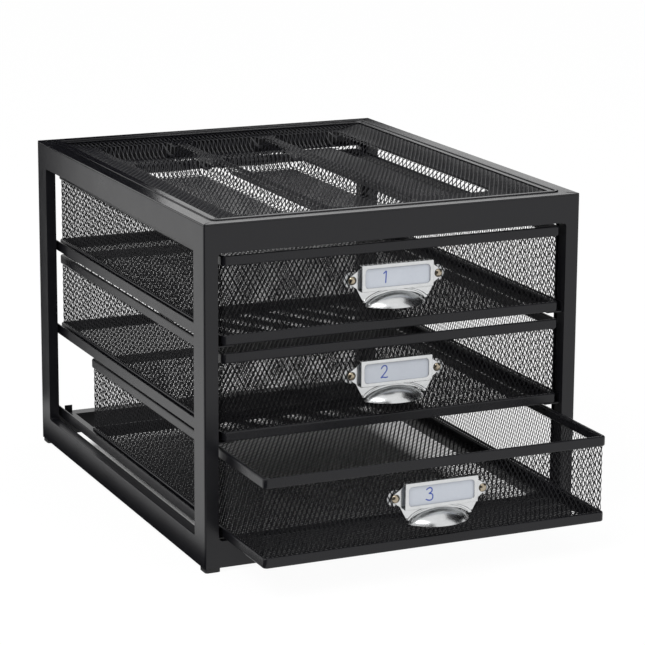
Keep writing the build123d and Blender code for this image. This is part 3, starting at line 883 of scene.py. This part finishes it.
def camera():
    """The photograph's camera, placed from the front frame's lower left corner."""
    lens = bpy.data.cameras.new("camera")
    lens.sensor_width = SENSOR
    lens.lens = FOCAL_PIXELS / FRAME_PIXELS * SENSOR
    lens.shift_y = CAMERA_SHIFT
    lens.clip_end = 50
    eye = bpy.data.objects.new("camera", lens)
    bpy.context.scene.collection.objects.link(eye)
    corner = Vector((cad_box[0].x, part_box("front_frame")[0].y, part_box("front_frame")[0].z))
    turn = Matrix.Rotation(-CAMERA_YAW, 4, "Z") @ Matrix.Rotation(QUARTER - CAMERA_PITCH, 4, "X")
    roll = Matrix.Rotation(CAMERA_ROLL, 4, "Z")
    eye.matrix_world = Matrix.Translation(corner + CAMERA_FROM_CORNER) @ turn @ roll
    bpy.context.scene.camera = eye


def floor():
    """A pale floor: white where it is seen, with a faint shadow, and all shade underneath."""
    sheet = Finish("floor")
    seen = sheet.shown()
    lit = sheet.node("ShaderNodeBsdfDiffuse", None, Color=FLOOR_COLOUR)
    glow = sheet.node("ShaderNodeEmission", None, Color=(1.0, 1.0, 1.0, 1.0), Strength=GLOW)
    place = sheet.node("ShaderNodeSeparateXYZ", None, sheet.place())
    under = 1.0
    for axis, low, high in zip("XY", UNDER_LOW, UNDER_HIGH):
        along = Socket(sheet, place.output.node.outputs[axis])
        inside = (high - low) / 2 / UNDER_FADE - abs(along - (low + high) / 2) * (1 / UNDER_FADE)
        under = under * inside.within_one()
    share = (1.0 - SHADE_SHARE) * (1.0 - under)
    soft = sheet.node("ShaderNodeMixShader", None, share, lit, glow)
    mixed = sheet.node("ShaderNodeMixShader", None, seen, lit, soft)
    sheet.tree.links.new(mixed.output, sheet.surface)
    stage_sheet("floor", sheet.material, Matrix.Identity(4), FLOOR_HALF)


def stage_sheet(name, material, place, half):
    """A flat square that belongs to the studio."""
    bm = bmesh.new()
    bmesh.ops.create_grid(bm, x_segments=1, y_segments=1, size=half)
    bmesh.ops.transform(bm, matrix=place, verts=bm.verts)
    mesh = bpy.data.meshes.new(name)
    bm.to_mesh(mesh)
    bm.free()
    mesh.materials.append(material)
    stood = bpy.data.objects.new(name, mesh)
    bpy.context.scene.collection.objects.link(stood)
    return stood


def flags():
    """Black panels that only gloss shows: they give the object's bends their dark lines."""
    felt = Finish("flag_felt")
    black = felt.node("ShaderNodeBsdfDiffuse", None, Color=FELT)
    felt.tree.links.new(black.output, felt.surface)
    for name, place, turn, tilt, size in FLAGS:
        stand = Matrix.Translation(place) @ Matrix.Rotation(math.radians(turn), 4, "Z")
        stand @= Matrix.Rotation(math.radians(tilt), 4, "X") @ Matrix.Diagonal((*size, 1.0, 1.0))
        panel = stage_sheet(name, felt.material, stand, 0.5)
        panel.visible_camera = False
        panel.visible_diffuse = False
        panel.visible_shadow = False


def lamp(name, place, size, power, seen_in_gloss):
    """A soft square lamp that shines on the object."""
    light = bpy.data.lights.new(name, "AREA")
    light.shape = "RECTANGLE"
    light.size, light.size_y = size
    light.energy = power
    holder = bpy.data.objects.new(name, light)
    holder.location = place
    holder.rotation_euler = (LAMPS_AIM - Vector(place)).to_track_quat("-Z", "Y").to_euler()
    holder.visible_glossy = seen_in_gloss
    bpy.context.scene.collection.objects.link(holder)


def world():
    """White where it is seen, directly or in gloss, and a little dimmer as a light."""
    sky = bpy.data.worlds.new("studio")
    sky.use_nodes = True
    bpy.context.scene.world = sky
    tree = sky.node_tree
    background = tree.nodes["Background"]
    background.inputs["Color"].default_value = (1, 1, 1, 1)
    path = tree.nodes.new("ShaderNodeLightPath")
    shown = path.outputs[SHOWN_RAYS[0]]
    for name in SHOWN_RAYS[1:]:
        either = tree.nodes.new("ShaderNodeMath")
        either.operation = "MAXIMUM"
        tree.links.new(shown, either.inputs[0])
        tree.links.new(path.outputs[name], either.inputs[1])
        shown = either.outputs[0]
    level = tree.nodes.new("ShaderNodeMapRange")
    level.inputs["To Min"].default_value = SKY_LEVEL
    level.inputs["To Max"].default_value = 1.0
    tree.links.new(shown, level.inputs["Value"])
    tree.links.new(level.outputs["Result"], background.inputs["Strength"])


camera()
floor()
flags()
world()
for settings in LAMPS:
    lamp(*settings)
cabinet_sheets()
lid_border()
feet()
tray()
for drawer in LEVELS:
    drawer_walls(drawer)
    drawer_floor(drawer)
    drawer_rim(drawer)
    drawer_base_band(drawer)
    pull(drawer)
    label_card(drawer)

bpy.context.scene.view_settings.view_transform = "Standard"
